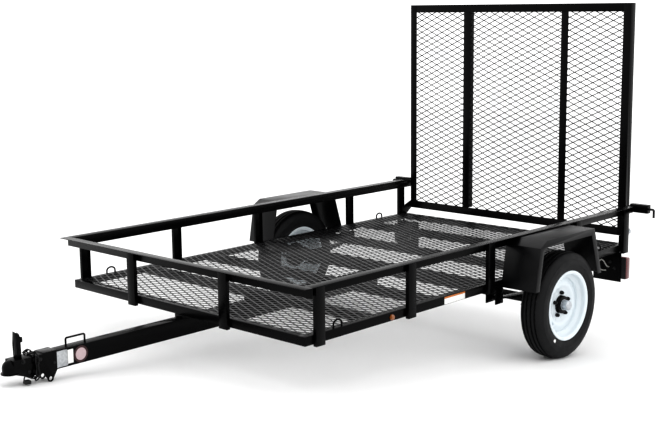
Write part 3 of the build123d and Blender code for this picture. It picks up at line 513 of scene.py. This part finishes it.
def rims():
    """Pressed wheel: rolled lip, drop centre, dished disc and a valve."""
    barrel = [(53.0, 168.0), (55.8, 167.4), (57.0, 165.4), (56.6, 162.0), (55.0, 157.0), (53.4, 152.6),
              (50.0, 149.6), (45.0, 149.2), (34.0, 149.0), (30.0, 147.0), (23.0, 131.0), (20.0, 129.2),
              (-20.0, 129.2), (-23.0, 131.0), (-30.0, 147.0), (-34.0, 149.0), (-50.0, 149.6), (-55.0, 157.0),
              (-57.0, 165.4), (-55.8, 167.4), (-53.0, 168.0), (-53.6, 164.0), (-51.6, 157.0), (-48.0, 152.0),
              (-33.0, 152.0), (-21.0, 132.2), (21.0, 132.2), (33.0, 152.0), (48.0, 152.0), (51.6, 157.0),
              (53.6, 164.0)]
    bm = bmesh.new()
    lathe(bm, barrel, wheel_centre(), steps=128)
    pilot = HUB_RADIUS + 1
    disc = [(0.0, pilot), (0.0, 74.0), (1.6, 80.0), (6.6, 88.0), (9.4, 95.0), (10.0, 102.0), (8.8, 110.0),
            (4.0, 121.0), (3.4, 129.5), (-0.4, 129.5), (-0.4, 121.0), (4.6, 109.0), (5.8, 102.0), (5.4, 96.0),
            (2.8, 90.5), (-2.4, 82.0), (-4.0, 75.0), (-4.0, pilot)]
    lathe(bm, disc, wheel_centre(DISC_Y), steps=128)
    valve = Vector((0.81, 0, -0.59))
    valve_foot = wheel_centre(DISC_Y + 8) + 118 * valve
    valve_tip = wheel_centre(DISC_Y + 34) + 124 * valve
    bar(bm, valve_foot, valve_tip, 5.5, tip=4.5, edge=0.6)
    finish_pair("rim_pressing", bm, white_enamel, ("wheel_left", "wheel_right"), ["rim"], limit=40)


def hubs():
    """Cast hub barrel with its flange behind the disc, coned nuts, and a pressed dust cap."""
    bm = bmesh.new()
    nose = HUB_NOSE
    r = HUB_RADIUS
    barrel = [(-HUB_BACK, 13.8), (-HUB_BACK, r - 5), (4 - HUB_BACK, r - 1), (-14, r), (-13.4, 70), (-4.4, 70),
              (-4.2, r), (nose - 4, r), (nose - 1, r - 1.4), (nose, r - 4), (nose, 13.8)]
    lathe(bm, barrel, wheel_centre(DISC_Y), steps=72)
    finish_pair("hub_casting", bm, gloss_black_powder_coat, ("wheel_left", "wheel_right"), ["hub"])
    bm = bmesh.new()
    base = nose + 0.3
    end = base + CAP_LENGTH
    cap = [(base, 0), (base, CAP_RADIUS + 1.6), (base + 1.5, CAP_RADIUS + 2.2), (base + 3, CAP_RADIUS + 1.6),
           (base + 3.4, CAP_RADIUS), (end - 9, CAP_RADIUS - 0.6), (end - 4, CAP_RADIUS - 2.6),
           (end - 1, CAP_RADIUS - 7), (end, CAP_RADIUS - 13), (end, 0)]
    lathe(bm, cap, wheel_centre(DISC_Y), steps=64, closed=False)
    finish_pair("dust_cap_pressing", bm, zinc_plate, ("wheel_left", "wheel_right"), ["dust_cap"])
    bm = bmesh.new()
    for k in range(5):
        angle = math.radians(72 * k + 90)
        spot = wheel_centre(DISC_Y) + 57.15 * Vector((math.cos(angle), 0, math.sin(angle)))
        bar(bm, spot, spot + ACROSS * 4, 7.6, tip=9.6, edge=0.3)
        bar(bm, spot + ACROSS * 4, spot + ACROSS * 14, 9.6, sides=6, edge=1.2)
        bar(bm, spot + ACROSS * 14, spot + ACROSS * 18, 5.8, edge=0.8)
    finish_pair("lug_nuts", bm, black_oxide_steel, ("wheel_left", "wheel_right"))


# ---------------------------------------------------------------- chain, coupler and tongue
def safety_chain():
    """Fourteen welded links looped once round the coupler's neck, each turned across the next."""
    wide, high, bend, links = 88.0, 99.0, 18.0, 14
    wire = 3.0
    half_link = 10.0
    middle = Vector((738, 0, NECK_TOP + 0.3 + half_link - high / 2))
    total = 2 * (wide + high - 4 * bend) + 2 * math.pi * bend
    pitch = total / links
    stretch = (pitch + 4 * wire - 2 * half_link) / 2

    def loop_point(distance):
        """Place and heading at this distance round the loop, from the middle of its left side."""
        corners = ((wide / 2, high / 2), (-wide / 2, high / 2), (-wide / 2, -high / 2), (wide / 2, -high / 2))
        left = distance % total
        heading = Vector((0, 0, 1))
        here = Vector((0, wide / 2, 0))
        straights = (high / 2 - bend, wide - 2 * bend, high - 2 * bend, wide - 2 * bend, high / 2 - bend)
        for index, straight in enumerate(straights):
            if left <= straight or index == len(corners):
                return here + heading * left, heading
            here = here + heading * straight
            left -= straight
            inward = Vector((0, -heading.z, heading.y))
            arc = math.pi / 2 * bend
            if left <= arc:
                angle = left / bend
                return (here + heading * bend * math.sin(angle) + inward * bend * (1 - math.cos(angle)),
                        heading * math.cos(angle) + inward * math.sin(angle))
            here = here + heading * bend + inward * bend
            heading = inward
            left -= arc
        return here, heading

    bm = bmesh.new()
    for k in range(links):
        spot, along = loop_point(k * pitch)
        across = Vector((1, 0, 0)).cross(along)
        side, flat = (Vector((1, 0, 0)), across) if k % 2 else (across, Vector((1, 0, 0)))
        before = set(bm.verts)
        place = Matrix.Translation((0, half_link - wire, 0)) @ Matrix.Rotation(math.pi / 2, 4, "Y")
        ring = bmesh.ops.create_circle(bm, segments=12, radius=wire, matrix=place)
        edges = list({e for v in ring["verts"] for e in v.link_edges})
        bmesh.ops.spin(bm, geom=ring["verts"] + edges, axis=(0, 0, 1), cent=(0, 0, 0), angle=2 * math.pi,
                       steps=24, use_merge=True)
        fresh = [v for v in bm.verts if v not in before]
        for v in fresh:
            if abs(v.co.x) > 0.05:
                v.co.x += math.copysign(stretch, v.co.x)
        turn = Matrix((along, side, flat)).transposed().to_4x4()
        bmesh.ops.transform(bm, matrix=Matrix.Translation(middle + spot) @ turn, verts=fresh)
    bmesh.ops.recalc_face_normals(bm, faces=bm.faces[:])
    finish_piece("safety_chain_links", bm, black_oxide_steel, "trailer", ["safety_chain"], limit=60)


def coupler_hardware():
    """Rivets, clamp nut, lever and its trigger."""
    bm = bmesh.new()
    for side in SIDES:
        out = Vector((0, side, 0))
        for x, z, radius in ((714, -34, 5.5), (766, -72, 5.5), (652, -60, 4.5)):
            spot = Vector((x, side * COUPLER_HALF, z))
            lathe(bm, [(0, 0), (0, radius * 1.3), (1.2, radius * 1.3), (3.0, radius * 0.8), (3.4, 0)], spot,
                  steps=20, closed=False, axis=out)
        hex_bolt(bm, (792, side * COUPLER_HALF, -26), out, radius=7.5, head=6.0, stud=3.0)
    finish_piece("coupler_fasteners", bm, black_oxide_steel, "trailer")
    bm = bmesh.new()
    lever = [(786, NECK_TOP), (806, NECK_TOP), (808, 40), (804, 89), (794, 82), (788, 66)]
    for side in SIDES:
        plate(bm, lever, *sorted((side * 10.8, side * 14.0)), edge=0.8)
    block(bm, (802.5, -11, NECK_TOP + 2), (806, 11, 86), edge=0.8)
    block(bm, (773, -5, 43), (800, 5, 64), edge=2.5)
    bar(bm, (797, -15.5, 20), (797, 15.5, 20), 4.0, edge=0.6)
    finish_piece("coupler_lever_pressing", bm, gloss_black_powder_coat, "trailer", ["coupler_lever"])


def tongue_dressing():
    """Lifting handle, foil band, blank labels and the round sticker on the tongue's sides."""
    back, front, top = 487, 577, 17
    foot = TONGUE_TOP + 4
    bend = 16
    points = [(back, 0, TONGUE_TOP - 1), (back, 0, foot), (back, 0, top - bend), (back, 0, top),
              (back + bend, 0, top), (front - bend, 0, top), (front, 0, top), (front, 0, top - bend),
              (front, 0, foot), (front, 0, TONGUE_TOP - 1)]
    bm = bmesh.new()
    rod(bm, points, 4.0)
    finish_piece("tongue_handle_rod", bm, gloss_black_powder_coat, "trailer", ["tongue_handle"])
    height = TONGUE_BOTTOM + 5, TONGUE_TOP - 5
    middle = (TONGUE_TOP + TONGUE_BOTTOM) / 2
    for side, name in zip(SIDES, ("left", "right")):
        face = side * TONGUE_HALF
        skin = sorted((face, face + side * 0.5))
        bm = bmesh.new()
        block(bm, (588, skin[0], height[0]), (COUPLER_BACK - 1, skin[1], height[1]), edge=0.2)
        finish_piece(f"foil_band_{name}", bm, aluminium_foil, "trailer")
        bm = bmesh.new()
        block(bm, (561, skin[0], height[0] + 6), (587, skin[1], height[1] - 4), edge=0.2)
        finish_piece(f"blank_label_{name}", bm, white_vinyl, "trailer")
        bm = bmesh.new()
        spot = Vector((525, face, middle))
        bar(bm, spot, spot + Vector((0, side * 0.4, 0)), 34, sides=64)
        finish_piece(f"sticker_rim_{name}", bm, maroon_vinyl, "trailer")
        bm = bmesh.new()
        bar(bm, spot, spot + Vector((0, side * 0.7, 0)), 25.0, sides=64)
        finish_piece(f"sticker_face_{name}", bm, pink_vinyl, "trailer")


# ---------------------------------------------------------------- bed fittings
def tie_rings():
    """Half rings of 8 mm rod, welded upright on the side frames."""
    bm = bmesh.new()
    for x in (-200, -2180):
        for side in SIDES:
            y = side * (HALF_BED - 14)
            low = DECK + 0.5
            points = [(x - 24, y, low), (x - 24, y, low + 5), (x - 24, y, low + 17), (x - 17, y, low + 26),
                      (x, y, low + 31), (x + 17, y, low + 26), (x + 24, y, low + 17), (x + 24, y, low + 5),
                      (x + 24, y, low)]
            rod(bm, points, 4.0)
    finish_piece("tie_rings", bm, gloss_black_powder_coat, "trailer", ["tie_down_rings"])


def lamps():
    """Tail lamp: black housing, red lens with a rolled edge, studs and leads on the plate."""
    bm = bmesh.new()
    block(bm, (-2386.5, 682, -144), (-2383.2, 798, -30), edge=1.2)
    for y, z in ((708, -60), (735, -90)):
        hex_bolt(bm, (-2379.8, y, z), (1, 0, 0), radius=6.5, head=5.0, stud=9.0)
    finish_pair("tail_lamp_housing", bm, black_plastic, ("trailer", "trailer"))
    bm = bmesh.new()
    block(bm, (-2427, 680, -146), (-2386, 800, -28), edge=8.0)
    add_mirror(bm)
    finish_piece("tail_lamp_lenses", bm, red_acrylic, "trailer", ["tail_lamps"])
    bm = bmesh.new()
    for side in SIDES:
        rod(bm, [(-2381, side * 700, -88), (-2368, side * 700, -88), (-2352, side * 696, -70),
                 (-2350, side * 684, -50), (-2352, side * 668, -46), (-2354, side * 654, -60),
                 (-2356, side * 648, -84), (-2362, side * 652, -102), (-2372, side * 668, -110),
                 (-2381, side * 684, -108)], 3.4)
    finish_piece("lamp_leads", bm, grey_pvc, "trailer")
    bm = bmesh.new()
    for side in SIDES:
        spot = Vector((-517, side * HALF_BED, 16))
        lathe(bm, [(0, 0), (0, 13), (3.5, 13), (3.5, 11.5), (9, 10.5), (11.4, 7), (12, 0)], spot, steps=40,
              closed=False, axis=Vector((0, side, 0)))
    finish_piece("side_marker_lenses", bm, amber_acrylic, "trailer", ["side_markers"])
    bm = bmesh.new()
    block(bm, (-1024, HALF_BED, 2), (-875, HALF_BED + 0.5, 27), edge=0.2)
    finish_piece("side_label", bm, white_vinyl, "trailer")
    bm = bmesh.new()
    block(bm, (-1024, HALF_BED, 27.2), (-875, HALF_BED + 0.5, 35), edge=0.2)
    finish_piece("side_label_strip", bm, orange_vinyl, "trailer")


def latches():
    """Drawn pins with their bent handles, one in each square housing."""
    x, z = HINGE[0], LATCH_Z
    bm = bmesh.new()
    tip = 745.0
    grip = HALF_BED + 131
    bend = 16
    points = [(x, tip, z), (x, tip + 15, z), (x, grip - bend, z), (x, grip, z), (x, grip, z - bend),
              (x, grip, z - 43)]
    rod(bm, points, 6.0)
    add_mirror(bm)
    finish_piece("latch_pin_rods", bm, black_oxide_steel, "trailer", ["latch_pins"])


def hinges():
    """Heads of the ramp's two hinge bolts."""
    bm = bmesh.new()
    x, z = HINGE
    hex_bolt(bm, (x, 749.2, z), (0, 1, 0), radius=12.0, head=8.0, stud=0)
    add_mirror(bm)
    finish_piece("hinge_bolt_heads", bm, zinc_plate, "trailer")


def carried_over():
    """Steel whose CAD shape is right, with its edges rolled."""
    for node in ("frame_front", "frame_rear", "frame_side_left", "frame_side_right", "crossmembers",
                 "rail_front", "rail_side_left", "rail_side_right", "uprights_front", "uprights_left",
                 "uprights_right"):
        rolled_copy(node, 1.1, "trailer")
    for node in ("tongue", "tongue_spacers", "spring_plates", "gate_hinges", "gate_latches", "lamp_brackets"):
        rolled_copy(node, 1.2, "trailer")
    for node in ("spring_left", "spring_right", "spring_hangers"):
        rolled_copy(node, 0.8, "trailer")
    for node in ("fender_left", "fender_right"):
        rolled_copy(node, 0.8, "trailer", satin_black_powder_coat)
    for node in ("coupler", "coupler_clamp"):
        rolled_copy(node, 1.0, "trailer")
    rolled_copy("axle_beam", 0.8, "trailer")
    for node in ("gate_bars", "gate_bottom", "gate_stiles", "gate_top"):
        rolled_copy(node, 1.1, "gate")


set_camera()
set_studio()
wiring()
mesh_panels()
tyres()
rims()
hubs()
safety_chain()
coupler_hardware()
tongue_dressing()
tie_rings()
lamps()
latches()
hinges()
carried_over()
